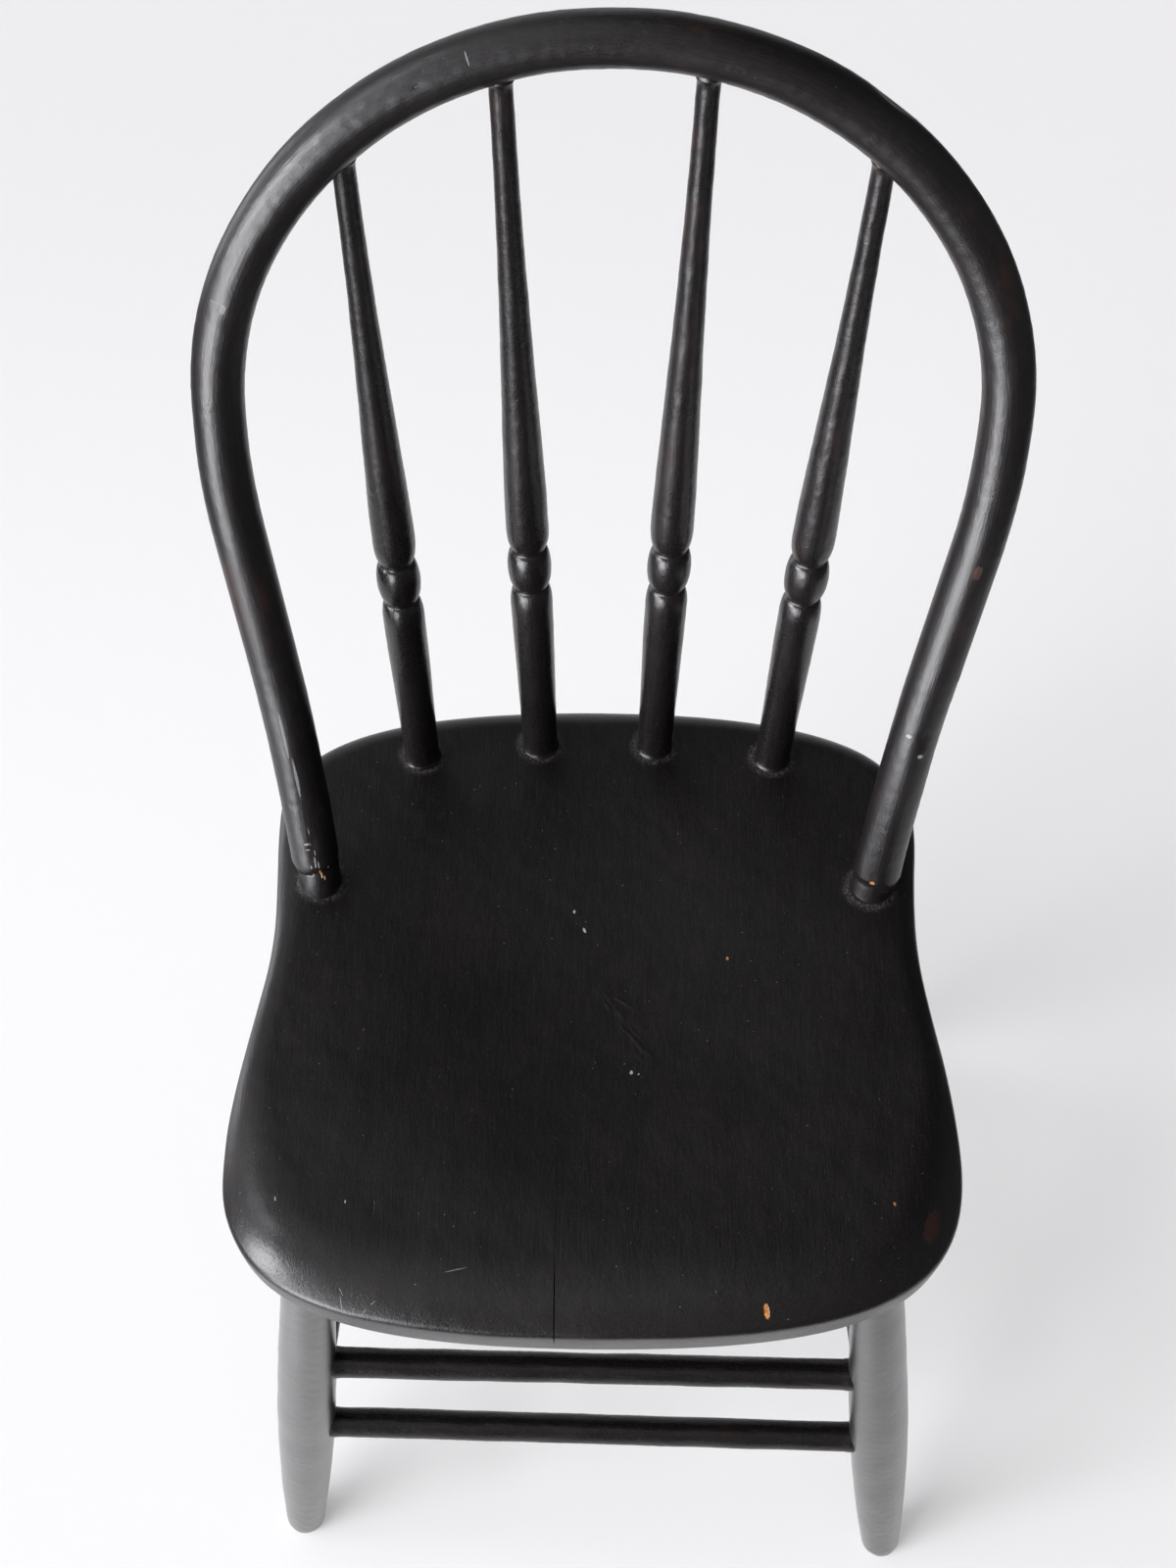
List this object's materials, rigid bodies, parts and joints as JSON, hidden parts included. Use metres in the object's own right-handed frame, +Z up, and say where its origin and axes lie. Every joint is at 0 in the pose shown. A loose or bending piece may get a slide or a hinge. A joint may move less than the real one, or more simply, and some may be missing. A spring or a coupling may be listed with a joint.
{
  "type": "bow-back spindle side chair",
  "caption": "Armless wooden side chair with a dished plank seat, a steam-bent bow and turned spindles for a back, and splayed turned legs tied by round stretchers, in worn black paint.",
  "frame": {"origin": "on the floor, at the middle of the chair's bounding box in plan", "axes": "+Z up, the sitter faces -Y, +X to the right of someone looking at the chair's front"},
  "size_m": [0.4205, 0.4264, 0.9327],
  "materials": {
    "seat_paint": "worn satin black paint with brush marks, small chips and dust over wood",
    "bow_paint": "worn satin black paint over bent wood, dinged and chipped at the feet",
    "spindle_paint": "satin black paint over turned wood, thick in the grooves",
    "leg_paint": "satin black paint over turned wood with faint turning rings",
    "stretcher_paint": "satin black paint over round wooden rods, scuffed at the ends"
  },
  "bodies": {
    "root": {"seat_board_left": "seat_paint", "seat_board_right": "seat_paint", "bow": "bow_paint", "spindle_outer_left": "spindle_paint", "spindle_inner_left": "spindle_paint", "spindle_inner_right": "spindle_paint", "spindle_outer_right": "spindle_paint", "leg_front_left": "leg_paint", "leg_front_right": "leg_paint", "leg_back_left": "leg_paint", "leg_back_right": "leg_paint", "stretcher_front_upper": "stretcher_paint", "stretcher_front_lower": "stretcher_paint", "stretcher_left_upper": "stretcher_paint", "stretcher_left_lower": "stretcher_paint", "stretcher_right_upper": "stretcher_paint", "stretcher_right_lower": "stretcher_paint", "stretcher_back": "stretcher_paint"}
  },
  "joints": []
}
